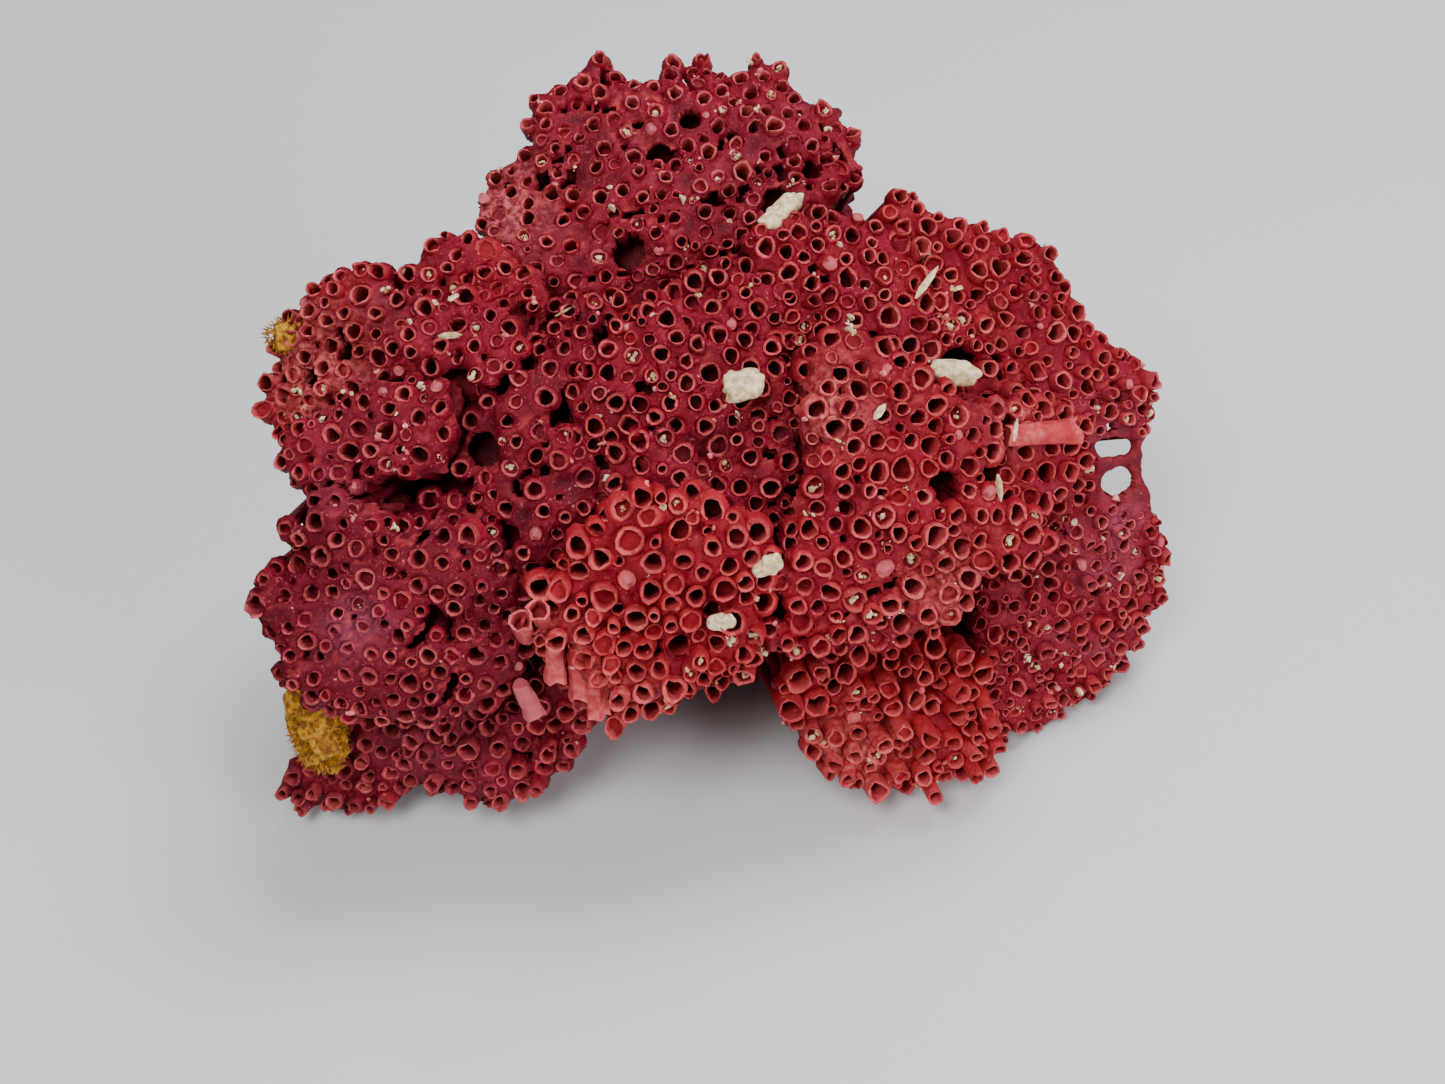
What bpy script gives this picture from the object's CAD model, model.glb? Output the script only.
import math

import bmesh
import bpy
import numpy as np
from mathutils import Matrix


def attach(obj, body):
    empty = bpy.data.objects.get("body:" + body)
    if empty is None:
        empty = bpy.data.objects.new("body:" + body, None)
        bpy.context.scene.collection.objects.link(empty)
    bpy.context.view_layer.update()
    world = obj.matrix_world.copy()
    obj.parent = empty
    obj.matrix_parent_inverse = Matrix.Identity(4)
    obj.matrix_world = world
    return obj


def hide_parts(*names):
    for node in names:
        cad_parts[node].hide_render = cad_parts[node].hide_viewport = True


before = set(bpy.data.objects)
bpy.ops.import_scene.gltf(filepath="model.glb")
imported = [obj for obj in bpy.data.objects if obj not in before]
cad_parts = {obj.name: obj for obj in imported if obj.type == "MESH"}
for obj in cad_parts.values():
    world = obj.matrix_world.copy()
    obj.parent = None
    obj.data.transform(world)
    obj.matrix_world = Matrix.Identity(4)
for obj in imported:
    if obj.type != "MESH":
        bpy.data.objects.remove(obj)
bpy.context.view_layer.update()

# The table and the light
# The clump stands on a plain pale table in soft light from above, with more from the right.
# The camera is held close, looks down at about 46 degrees and is rolled a little.
MM = 0.001
camera_dip = math.radians(46.41)
camera_roll = math.radians(7.75)
camera_place = np.array([2.094, -146.357, 161.528]) * MM
focal_share = 2200 / 1445  # focal length in widths of the image

ahead = np.array([0, math.cos(camera_dip), -math.sin(camera_dip)])
level_up = np.array([0, math.sin(camera_dip), math.cos(camera_dip)])
level_right = np.array([1.0, 0, 0])
image_right = math.cos(camera_roll) * level_right - math.sin(camera_roll) * level_up
image_up = math.sin(camera_roll) * level_right + math.cos(camera_roll) * level_up


def place_facing(thing, place, across, upward, backward):
    """Put a camera or a lamp at a place, its own three axes along the given directions."""
    turn = np.eye(4)
    turn[:3, 0], turn[:3, 1], turn[:3, 2], turn[:3, 3] = across, upward, backward, place
    thing.matrix_world = Matrix(turn.tolist())
    bpy.context.scene.collection.objects.link(thing)


camera = bpy.data.objects.new("camera", bpy.data.cameras.new("camera"))
camera.data.sensor_width = 36
camera.data.lens = 36 * focal_share
camera.data.clip_start = 0.005
place_facing(camera, camera_place, image_right, image_up, -ahead)
bpy.context.scene.camera = camera


def linear(red, green, blue):
    """A colour as seen on screen, 0 to 255, turned to the renderer's even scale of light."""
    seen = np.array([red, green, blue]) / 255
    even = np.where(seen <= 0.04045, seen / 12.92, ((seen + 0.055) / 1.055) ** 2.4)
    return (*even.tolist(), 1.0)


def soft_light(name, place, aim, size, watts, colour):
    """A square lamp of one size at one place, its back turned away from the point it lights."""
    lamp = bpy.data.objects.new(name, bpy.data.lights.new(name, "AREA"))
    lamp.data.size = size
    lamp.data.energy = watts
    lamp.data.color = colour
    away = np.array(place, float) - np.array(aim, float)
    away = away / np.linalg.norm(away)
    across = np.cross([0, 0, 1.0], away)
    across = across / np.linalg.norm(across)
    place_facing(lamp, place, across, np.cross(away, across), away)


soft_light("window", (-0.10, -0.22, 0.42), (0, 0, 0.03), 0.18, 1.65, (1.0, 0.98, 0.95))
soft_light("sky", (0.16, 0.12, 0.48), (0, 0, 0.03), 0.26, 2.5, (0.94, 0.97, 1.0))
soft_light("side", (0.36, -0.34, 0.18), (0.01, -0.01, 0.02), 0.26, 1.9, (1.0, 0.95, 0.97))

world = bpy.data.worlds.new("room")
world.use_nodes = True
world.node_tree.nodes["Background"].inputs["Color"].default_value = linear(205, 208, 212)
world.node_tree.nodes["Background"].inputs["Strength"].default_value = 0.28
bpy.context.scene.world = world

table_half = 1.5
table_height = -0.0001
table_mesh = bpy.data.meshes.new("table")
table_corners = [(-1, -1), (1, -1), (1, 1), (-1, 1)]
table_mesh.from_pydata(
    [(x * table_half, y * table_half, table_height) for x, y in table_corners], [], [(0, 1, 2, 3)])
table = bpy.data.objects.new("table", table_mesh)
bpy.context.scene.collection.objects.link(table)
table_paint = bpy.data.materials.new("table_paint")
table_paint.use_nodes = True
table_shader = table_paint.node_tree.nodes["Principled BSDF"]
table_shader.inputs["Base Color"].default_value = linear(212, 214, 216)
table_shader.inputs["Roughness"].default_value = 0.55
table_mesh.materials.append(table_paint)

# The tubes
# Organ pipe coral is a brittle, chalky red skeleton. Its tubes, mostly 1.3 to 1.8 mm across, fan out
# from one point, the focus, and stand out of each ledge with thin, broken rims. Sizes are in mm. A
# place is given by degrees to the side, degrees above level, and its level, or distance, from there.
FOCUS = np.array([0, 42, -12.0])
SIDE_STRETCH = 1.29  # the levels reach this much further sideways than forward
BACK_FOOT = 15  # where the broken back meets the flat cut below
BACK_LEAN = 0.36
HEART_LEVEL = 56  # inside this level the tubes are packed into one body
TUBE_CORNERS = 11
SPOTS_TRIED = 3600  # on each ledge, the first of them for full tubes and the rest for small ones
FULL_SHARE = 0.55
PLUGGED_BELOW, SHALLOW_BELOW = 0.02, 0.28  # of a random number from 0 to 1 for each tube
BROKEN_SHARE = 0.12


def on_level(side, climb, level):
    """Places on an egg round the focus: across is level x 1.29 sin(side) cos(climb), forward is
    level x cos(side) cos(climb), and up is level x sin(climb)."""
    side, climb = np.radians(side), np.radians(climb)
    return np.stack([
        level * SIDE_STRETCH * np.sin(side) * np.cos(climb),
        FOCUS[1] - level * np.cos(side) * np.cos(climb),
        FOCUS[2] + level * np.sin(climb)], -1)


def unit(directions):
    """Directions, each made one long."""
    return directions / np.linalg.norm(directions, axis=-1, keepdims=True)


def growth_direction(places):
    """The way tubes point at each place: square to the egg, so across counts 1 / 1.29 squared."""
    return unit((places - FOCUS) / np.array([SIDE_STRETCH**2, 1, 1]))


def deepest_level(side, climb):
    """The level at which a line to the focus leaves the clump: through the flat cut, where height
    is 0, or through the broken back, a plane leaning 0.36 backwards for each mm of height."""
    side, climb = np.radians(side), np.radians(climb)
    at_cut = -FOCUS[2] / np.maximum(np.sin(climb), 0.02)
    at_back = (FOCUS[1] - BACK_FOOT - BACK_LEAN * FOCUS[2]) / np.maximum(
        np.cos(side) * np.cos(climb) + BACK_LEAN * np.sin(climb), 0.05)
    return np.maximum(at_cut, at_back)


def rough(places, grain, seed):
    """Smooth random height from -1 to 1: a random number at each corner of cubes one grain wide,
    eased between the corners by 3t^2 - 2t^3 along each axis."""
    cell = np.floor(places / grain).astype(np.int64)
    part = places / grain - cell
    part = part * part * (3 - 2 * part)
    total = np.zeros(places.shape[:-1])
    for corner in np.ndindex(2, 2, 2):
        spot = (cell + np.array(corner)) * np.array([73856093, 19349663, 83492791])
        mixed = (spot[..., 0] ^ spot[..., 1] ^ spot[..., 2] ^ seed * 2654435761) & 0xFFFFFFFF
        mixed = (mixed ^ (mixed >> 13)) * 1274126177 & 0xFFFFFFFF
        mixed = (mixed ^ (mixed >> 16)) * 2246822519 & 0xFFFFFFFF
        value = (mixed >> 8 & 0xFFFF) / 32767.5 - 1
        total += value * np.prod(np.where(corner, part, 1 - part), axis=-1)
    return total


def room_inside(side, climb, outline, level):
    """Distance in mm from each place to an outline, above 0 inside it and below 0 outside. The
    degrees are laid out flat at the ledge's own level, and the nearest edge counts."""
    corners = np.array(outline, float)
    scale = np.radians(1) * level * np.array(
        [SIDE_STRETCH * np.cos(np.radians(corners[:, 1].mean())), 1.0])
    place = np.stack([side, climb], -1)[..., None, :] * scale
    start = corners * scale
    edge = np.roll(start, -1, 0) - start
    along = np.clip(((place - start) * edge).sum(-1) / (edge**2).sum(-1), 0, 1)
    gap = np.linalg.norm(place - start - along[..., None] * edge, axis=-1).min(-1)
    crosses = (start[:, 1] > place[..., 1]) != (start[:, 1] + edge[:, 1] > place[..., 1])
    rise = np.where(edge[:, 1] == 0, 1e-9, edge[:, 1])
    where = start[:, 0] + edge[:, 0] * (place[..., 1] - start[:, 1]) / rise
    inside = (crosses & (place[..., 0] < where)).sum(-1) % 2 == 1
    return np.where(inside, gap, -gap)


def ledge(level, radius, crowd, height, warm, outline, holes=(), gaps=0.5, droop=0.7, slope=0.0):
    """A ledge: its level, the tubes' radius, how far apart they stand in widths, how far they stand
    out, how orange or, below 0, how dark it is, its corners in degrees, its holes as side, climb
    and radius, how rare its gaps are, how far its edge droops, and its rise for each degree."""
    return dict(level=level, radius=radius, crowd=crowd, height=height, warm=warm,
                outline=np.array(outline, float), holes=holes, gaps=gaps, droop=droop, slope=slope)


LEDGES = {
    "back_peaks": ledge(65, 0.70, 1.2, (0.2, 1.0), 0.0, [
        (-20.5, 58), (-20.5, 62), (-16.5, 63.5), (-18, 68), (-12.5, 68.5), (-8, 72), (-4.5, 72),
        (-1.5, 69.5), (3, 68.5), (5, 71), (7.5, 71), (9, 68), (11, 71.5), (13.5, 71.5), (15, 67.5),
        (21.5, 69), (24.5, 67.5), (23.5, 64), (26.5, 62), (25, 57), (19, 54.5), (12, 54),
        (7.5, 49), (3, 46.5), (-3, 46), (-12, 49), (-17, 53)],
        holes=[(2, 62, 1.0), (-3, 54.5, 1.3), (7, 65, 0.8), (12, 63, 0.7), (13.5, 56.5, 1.3)],
        gaps=0.44),
    "upper_left": ledge(73, 0.70, 1.12, (0.3, 1.4), 0.4, [
        (-30.5, 41), (-31, 45), (-31, 48), (-27.5, 51.5), (-24, 52.5), (-21.5, 51), (-20, 54),
        (-16.5, 55), (-13.5, 53.5), (-10, 52), (-9, 45), (-18, 42), (-25, 39)], gaps=0.4),
    "raised_left": ledge(77, 0.72, 1.15, (0.3, 1.0), 0.05, [
        (-20.5, 44), (-20, 46), (-19.5, 48), (-17, 50), (-13.5, 50.5), (-11, 49.5), (-10.5, 47.5),
        (-10, 46), (-11.5, 45), (-13, 44.5), (-15, 46), (-16.5, 44)], gaps=0.5),
    "middle_left": ledge(80, 0.72, 1.15, (0.2, 1.0), -0.05, [
        (-25, 40.5), (-24.5, 41.5), (-22.5, 42.5), (-20.5, 44), (-17.5, 45), (-14.5, 45), (-14, 43),
        (-14.5, 41), (-15, 39.5), (-18.5, 39), (-19.5, 38), (-23, 38), (-24.5, 39)], gaps=0.6),
    "strip": ledge(76, 0.74, 1.28, (0.2, 1.0), -0.1, [
        (-10.5, 45.5), (-8.5, 48.5), (-6.5, 49.5), (-4.5, 48), (-5.5, 46), (-7, 44.5), (-8, 42.5),
        (-7, 41), (-5, 39), (-5, 37), (-6, 33), (-8, 30), (-12, 28), (-16, 32), (-17, 37.5),
        (-15.5, 39.5), (-14.5, 42), (-14, 43.5), (-12, 44.5)],
        holes=[(-12.8, 40.6, 1.5), (-15.2, 38.6, 1.0), (-11, 35.2, 1.1)], gaps=0.42),
    "big_left": ledge(80.5, 0.73, 1.14, (0.1, 1.0), -0.3, [
        (-25, 33), (-24, 34), (-23, 33.5), (-22, 34.5), (-23.5, 35), (-23.5, 36), (-22, 37),
        (-21.5, 38), (-20.5, 38.5), (-18, 37.5), (-16.5, 36.5), (-14.5, 37), (-12, 36),
        (-11.5, 34), (-9.5, 32.5), (-10, 30), (-10, 28), (-10.5, 26), (-12.5, 24), (-16, 23.5),
        (-19, 24), (-21.5, 25), (-22.5, 27), (-22.5, 29), (-24, 31)],
        holes=[(-14.7, 30.8, 1.0)], gaps=0.5, droop=1.6, slope=-0.45),
    "left_foot": ledge(70.5, 0.78, 1.06, (0.3, 1.8), -0.15, [
        (-24.5, 25), (-8, 27), (-7.5, 22.7), (-8, 19.5), (-10, 15.5), (-12, 13.5), (-15, 13.2),
        (-19, 13.8), (-21, 12), (-24, 10.8), (-26.5, 11), (-27.8, 12.5), (-26.5, 15), (-24.5, 18),
        (-25, 21)], droop=0.4),
    "nose_skirt": ledge(76.5, 0.84, 0.98, (1.0, 3.2), 0.75, [
        (-9.5, 29), (-8, 31), (2, 29), (2.8, 26), (1, 24), (-2, 23.8), (-3.2, 22.8), (-5, 22.6),
        (-6.6, 23.5), (-8, 25.5)], droop=1.5),
    "front_nose": ledge(80, 0.88, 1.01, (0.3, 2.2), 0.85, [
        (-9.5, 32), (-9, 33), (-7.5, 34), (-6.5, 36), (-5, 37), (-4.5, 38), (-2, 38), (0.5, 37.5),
        (2.5, 36.5), (4, 34.5), (4, 32), (3.5, 30.5), (2.5, 28), (1.5, 26), (-1, 26),
        (-2, 25.5), (-3.5, 24.3), (-5, 24.5), (-6, 25.5), (-7, 26.5), (-7.5, 29), (-9.5, 29.5)],
        gaps=0.7, droop=1.3),
    "right_shelf": ledge(78, 0.84, 1.0, (0.2, 1.4), 0.5, [
        (7.5, 41), (8.5, 44.5), (10.5, 45), (12.5, 45), (14, 43.5), (15.5, 42.5), (16, 41),
        (17.5, 39.5), (19.5, 38), (19, 36), (17, 34), (19, 32), (20, 28), (16, 28.5), (14.5, 27.5),
        (13.5, 26), (10.5, 25.5), (9.5, 24.5), (7, 25), (4.5, 25.5), (2.5, 26.5), (1, 28),
        (2, 30), (4, 32.5), (5.5, 34.5), (6.5, 36.5), (7.5, 38.5)],
        holes=[(14.5, 34.5, 1.3), (3.6, 29.6, 1.2)], gaps=0.5, droop=1.2),
    "back_right": ledge(70, 0.76, 1.08, (0.3, 1.5), 0.3, [
        (8, 53.5), (10.5, 54), (15, 54), (19.5, 52.5), (21.5, 50.5), (21, 48), (20, 42), (8, 42)],
        holes=[(8.5, 50, 1.0)], gaps=0.45),
    "right_wing": ledge(69, 0.72, 1.04, (0.3, 1.7), 0.5, [
        (19, 41), (19.5, 52), (21.5, 53), (24.5, 54), (26, 52), (27.5, 50.5), (30, 48), (32, 47),
        (32, 44.5), (32.5, 41.5), (33, 38.5), (34, 35.5), (34, 33.5), (33, 31.5), (31.5, 31.5),
        (28.5, 31.5), (24, 30.5), (20, 33)], holes=[(21, 41, 1.3)], gaps=0.5),
    "right_step": ledge(73, 0.80, 1.02, (0.5, 1.8), 0.5, [
        (19, 33), (19.5, 36), (20.5, 37.5), (23, 37.5), (26, 35.5), (26.5, 33.5), (25, 31),
        (23.5, 29.5), (20.5, 30)]),
    "right_edge": ledge(68.5, 0.66, 1.03, (0.3, 1.5), 0.35, [
        (18, 31), (24, 31), (27.5, 31.5), (28, 32.5), (33, 32.5), (32.8, 30.5), (31.6, 28.5),
        (31, 25.5), (30.5, 23), (30, 19.5), (29, 17), (27, 14), (24, 11.5), (21, 9.8), (17, 10),
        (15, 14)], gaps=0.6, droop=0.4),
    "right_nose": ledge(72.5, 0.86, 1.0, (0.6, 3.2), 0.85, [
        (3, 22), (5, 24), (6.5, 24), (9, 23), (11.5, 23), (14, 22.5), (16, 19), (15, 16),
        (15.5, 13.5), (14, 11.5), (11.5, 11), (8.5, 11.5), (6, 13.5), (4.8, 15.5), (4, 18)],
        droop=0.8),
    "right_foot": ledge(66.5, 0.66, 1.03, (0.3, 1.4), 0.0, [
        (14, 20), (20, 19), (22.5, 16.5), (25, 12), (22, 9.5), (18, 9), (13, 9.5)], droop=0.4),
    "middle_back": ledge(70, 0.74, 1.12, (0.4, 2.0), 0.2, [
        (-10, 51), (-4, 50.5), (2, 51), (7, 52), (10, 49), (10, 42), (-10, 42)],
        holes=[(9, 47, 1.1)], gaps=0.36),
    "middle_step": ledge(74.6, 0.74, 1.1, (0.3, 1.6), 0.2, [
        (-7, 47), (-5, 47.5), (-1.5, 49), (1, 48), (2, 46.5), (4.5, 46.8), (7, 46), (8, 43),
        (8, 39), (3, 38), (-3, 38), (-6, 41), (-8, 44)], gaps=0.36, droop=0.3),
    "middle_floor": ledge(75.3, 0.74, 1.15, (0.3, 1.6), 0.05, [
        (-8, 42.5), (-5, 40.5), (-2, 41.5), (1, 39.8), (4, 40.8), (7, 40), (7.5, 36), (4, 32),
        (-9, 32)], gaps=0.36, droop=0.3),
}


def ledge_surface(kind, side, climb):
    """The level of a ledge's top and the room left inside its outline: broad and fine waves, a
    slope to the side from its middle, and an edge that droops over its last 2.5 mm."""
    room = room_inside(side, climb, kind["outline"], kind["level"])
    flat = on_level(side, climb, kind["level"])
    top = kind["level"] + 1.2 * rough(flat, 6.5, 401) + 0.5 * rough(flat, 2.6, 402)
    top = top + kind["slope"] * (side - kind["outline"][:, 0].mean())
    return top - kind["droop"] * (1 - np.clip(room / 2.5, 0, 1)) ** 2, room


def lies_under(side, climb, own):
    """True where a higher ledge covers a place or comes within 0.3 mm of doing so."""
    covered = np.zeros(np.shape(side), bool)
    for other in LEDGES.values():
        if other["level"] > own["level"]:
            covered |= room_inside(side, climb, other["outline"], other["level"]) > -0.3
    return covered


WINDOWS = [((37.0, -9.5, 23.0), 0.85), ((37.9, -9.4, 22.9), 0.9), ((38.8, -9.3, 22.7), 0.8),
           ((37.5, -11.2, 20.1), 1.2), ((38.2, -11.1, 20.4), 1.15)]


def from_windows(places):
    """Distance in mm from each place to the edge of the nearest gap in the right rim, given by its
    middle and radius. It runs straight through the rim, the way that the camera looks at it."""
    nearest = np.full(places.shape[:-1], 99.0)
    for middle, radius in WINDOWS:
        through = np.array(middle) - camera_place / MM
        through /= np.linalg.norm(through)
        away = np.linalg.norm(np.cross(places - np.array(middle), through), axis=-1)
        nearest = np.minimum(nearest, away - radius)
    return nearest


def spaced_out(places, radii, fits, crowd):
    """Which places are taken: those that fit are tried in turn, and one is taken only if its middle
    lies more than crowd x the two radii from that of every place taken before it."""
    taken = []
    for i in np.flatnonzero(fits):
        gaps = np.linalg.norm(places[taken] - places[i], axis=1)
        if (gaps > (radii[taken] + radii[i]) * crowd).all():
            taken.append(i)
    return taken


def plant_tubes(kind, seed):
    """Places for tubes on one ledge: random spots are tried, large ones first, and a tube stands
    only if it keeps clear of every tube planted before it by the ledge's own crowding."""
    dice = np.random.default_rng(seed)
    corners = kind["outline"]
    spots = corners.min(0) + dice.random((SPOTS_TRIED, 2)) * np.ptp(corners, axis=0)
    radii = kind["radius"] * np.clip(dice.normal(1.0, 0.14, SPOTS_TRIED), 0.7, 1.34)
    small = np.arange(SPOTS_TRIED) > SPOTS_TRIED * FULL_SHARE
    radii[small] *= dice.uniform(0.6, 0.85, small.sum())
    top, room = ledge_surface(kind, spots[:, 0], spots[:, 1])
    places = on_level(spots[:, 0], spots[:, 1], top)
    fits = (room > radii * 0.35) & ~lies_under(spots[:, 0], spots[:, 1], kind)
    fits &= (places[:, 2] > radii * 1.2) & (deepest_level(*spots.T) < top - 3)
    shafts = places[:, None] + np.linspace(-14, 2, 17)[:, None] * growth_direction(places)[:, None]
    fits &= from_windows(shafts).min(1) > radii * 0.9
    for hole_side, hole_climb, hole_radius in kind["holes"]:
        hole = on_level(hole_side, hole_climb, kind["level"])
        fits &= np.linalg.norm(places - hole, axis=1) > hole_radius + radii
    kept = spaced_out(places, radii, fits, kind["crowd"])
    low, high = kind["height"]
    count = len(kept)
    fill = dice.random(count)
    radii[kept] *= np.where(fill < PLUGGED_BELOW, 0.72, 1.0)
    return dict(
        side=spots[kept, 0], climb=spots[kept, 1], place=places[kept], radius=radii[kept],
        height=low + (high - low) * dice.random(count) ** 1.5, level=top[kept],
        lean=dice.normal(0, 0.085, (count, 3)), tone=dice.random(count),
        warm=np.clip(kind["warm"] + dice.normal(0, 0.13, count), -1, 1),
        plugged=fill < PLUGGED_BELOW,
        shallow=(fill > PLUGGED_BELOW) & (fill < SHALLOW_BELOW),
        broken=(room[kept] < radii[kept] * 1.4) | (dice.random(count) < BROKEN_SHARE))


planted = {name: plant_tubes(kind, seed) for seed, (name, kind) in enumerate(LEDGES.items(), 11)}


def pipe_skins(foot, axis, around, along, start_angle):
    """Closed pipes from a ring profile. A corner lies at foot + along x axis + around x spoke, where
    the spokes turn once round the axis. Ends are closed by one flat face each."""
    corner_count = around.shape[2]
    first = unit(np.cross(axis, [0.3, 0.1, 0.9]))
    second = np.cross(axis, first)
    angle = np.linspace(0, 2 * np.pi, corner_count, endpoint=False)[None] + start_angle
    spoke = np.cos(angle)[..., None] * first[:, None] + np.sin(angle)[..., None] * second[:, None]
    points = foot[:, None, None] + along[..., None] * axis[:, None, None]
    points = points + around[..., None] * spoke[:, None]
    index = np.arange(points[..., 0].size).reshape(around.shape)
    turned = np.roll(index, -1, 2)
    quads = np.stack([index[:, :-1], turned[:, :-1], turned[:, 1:], index[:, 1:]], -1)
    caps = np.concatenate([index[:, 0, ::-1], index[:, -1]])
    return points, quads.reshape(-1, 4), caps


def spread(shape, by_ring, by_tube=(1,)):
    """A mark for every corner of pipes of a shape (tubes, rings, corners of a ring): the number of
    its ring times the number of its tube."""
    each = np.array(by_ring, float)[None, :, None] * np.array(by_tube, float)[:, None, None]
    return np.broadcast_to(each, shape).reshape(-1)


def tube_shells(tubes, seed):
    """Tubes in seven rings: the shaft's end, its top, the foot spread wide inside the platform, the
    shoulder above it, the broken rim outside and inside, and the floor of the bore, which in a
    plugged tube is a low dome. The rim rises and falls by three waves and by single notches."""
    dice = np.random.default_rng(seed)
    count = len(tubes["radius"])
    axis = unit(growth_direction(tubes["place"]) + tubes["lean"])
    start_angle = dice.random((count, 1)) * 6.28
    angle = np.linspace(0, 2 * np.pi, TUBE_CORNERS, endpoint=False)[None]

    def waves(*sizes):
        total = 0
        for turns, size in enumerate(sizes, 1):
            total = total + size * np.cos(turns * angle + dice.random((count, 1)) * 6.28)
        return total

    radius, height = tubes["radius"][:, None], tubes["height"][:, None]
    out = 1 + waves(0.0, 0.06, 0.045)
    mouth = 1 + waves(0.0, 0.06, 0.05)
    wall = radius * dice.uniform(0.13, 0.27, (count, 1))
    damage = np.where(tubes["broken"][:, None], 2.2, 0.8) * (0.5 + dice.random((count, 1)))
    notch = dice.uniform(0.1, 0.6, out.shape) * (dice.random(out.shape) < 0.26)
    rim = height + radius * damage * waves(0.13, 0.07, 0.05) - radius * notch
    rim = np.maximum(rim + radius * dice.normal(0, 0.07, out.shape), 0.1)
    shaft = np.minimum(tubes["level"] - HEART_LEVEL + 2, tubes["level"] - 0.6 - deepest_level(
        tubes["side"], tubes["climb"]))[:, None]
    bore = np.minimum(dice.uniform(2.0, 4.6, (count, 1)) * radius - height, shaft - 1)
    shallow_bore = dice.uniform(0.6, 1.5, (count, 1)) * radius - height
    bore = np.where(tubes["shallow"][:, None], shallow_bore, bore)
    plugged = tubes["plugged"][:, None]
    whole = np.ones_like(out)
    spread_out = dice.uniform(1.32, 1.6, (count, 1)) - 0.08 * height
    ragged = mouth * (1 + dice.normal(0, 0.07, out.shape))
    around = np.stack([
        radius * 0.9 * whole, radius * 0.96 * whole, radius * spread_out * out,
        radius * 1.12 * out, radius * out, (radius - wall) * out * ragged,
        np.where(plugged, 0.42, 0.85) * (radius - wall) * out * ragged], 1)
    along = np.stack([
        -shaft * whole, -1.3 * whole, -0.42 * whole, np.minimum(0.2 + 0.12 * height, rim - 0.05), rim,
        rim - 0.08 * radius,
        np.where(plugged, height + 0.22 * radius, np.minimum(-bore * whole, rim - 0.3 * radius))], 1)
    points, quads, caps = pipe_skins(tubes["place"], axis, around, along, start_angle)
    points[..., 2] = np.maximum(points[..., 2], 0.03)
    shape = around.shape
    open_share = np.where(tubes["plugged"], 0.0, np.where(tubes["shallow"], 0.5, 1.0))
    marks = dict(
        rim=spread(shape, [0, 0, 0, 0, 0.5, 1, 0], dice.uniform(0.4, 1.0, count)),
        bore=spread(shape, [0.6, 0.35, 0.15, 0, 0, 0.1, 1], open_share),
        plug=spread(shape, [0, 0, 0, 0, 0, 0.3, 1], tubes["plugged"]),
        tone=spread(shape, [1] * 7, tubes["tone"]),
        warm=spread(shape, [0.6, 0.6, 0.8, 1, 1, 1, 1], tubes["warm"]))
    return points.reshape(-1, 3), quads, caps, marks


HAZES = [  # place, reach and strength of the lilac bloom
    ((-24.0, -12.0, 40.0), 3.0, 0.35), ((-28.5, -15.5, 37.0), 3.0, 0.45),
    ((-28.5, -25.0, 30.0), 3.5, 0.45), ((-22.0, -4.0, 44.0), 3.0, 0.4), ((8.0, 8.0, 48.0), 5.0, 0.3),
    ((37.0, -15.0, 12.0), 9.0, 0.8), ((34.0, -8.0, 22.0), 7.0, 0.4), ((-27.0, -22.0, 8.0), 7.0, 0.4)]

CHALKS = [  # place and reach of rubbed, chalky pink
    ((-13.5, -28.5, 27.5), 3.0), ((-10.0, -31.0, 21.5), 3.5), ((-4.0, -31.5, 19.0), 3.5),
    ((20.0, -24.0, 24.0), 3.5), ((11.0, -28.0, 8.0), 4.0), ((27.5, -15.0, 33.0), 3.0),
    ((12.0, -17.0, 40.0), 3.5), ((-14.0, 9.0, 46.0), 5.0), ((-30.0, -3.0, 40.0), 5.0)]


def coral_piece(name, points, quads, caps, marks, sharp_degrees):
    """A coral mesh in metres from places in mm. Its marks are kept as one number for each corner,
    and the marks for lilac bloom and pale chalk fade with distance from a few places."""
    mesh = bpy.data.meshes.new(name)
    faces = [quads, caps] if caps is not None else [quads]
    corners = np.concatenate([part.reshape(-1) for part in faces])
    sizes = np.concatenate([np.full(len(part), part.shape[1]) for part in faces])
    mesh.vertices.add(len(points))
    mesh.vertices.foreach_set("co", (points * MM).astype(np.float32).reshape(-1))
    mesh.loops.add(len(corners))
    mesh.loops.foreach_set("vertex_index", corners.astype(np.int32))
    mesh.polygons.add(len(sizes))
    mesh.polygons.foreach_set("loop_start", (np.cumsum(sizes) - sizes).astype(np.int32))
    mesh.polygons.foreach_set("use_smooth", np.ones(len(sizes), bool))
    mesh.update(calc_edges=True)
    mesh.validate()
    haze = np.zeros(len(points))
    for middle, reach, strength in HAZES:
        away = np.linalg.norm(points - np.array(middle), axis=1)
        haze += strength * np.exp(-(away / reach) ** 2)
    chalk = np.zeros(len(points))
    for middle, reach in CHALKS:
        chalk += np.exp(-(np.linalg.norm(points - np.array(middle), axis=1) / reach) ** 2)
    marks = dict(marks, haze=np.clip(haze, 0, 1), chalk=np.clip(chalk, 0, 1))
    for mark, values in marks.items():
        layer = mesh.attributes.new(mark, "FLOAT", "POINT")
        layer.data.foreach_set("value", values.astype(np.float32))
    mesh.set_sharp_from_angle(angle=math.radians(sharp_degrees))
    piece = bpy.data.objects.new(name, mesh)
    bpy.context.scene.collection.objects.link(piece)
    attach(piece, "root")
    return piece


def joined(names):
    """The planted tubes of several ledges, one list after the other."""
    return {key: np.concatenate([planted[name][key] for name in names])
            for key in planted[names[0]]}


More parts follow.
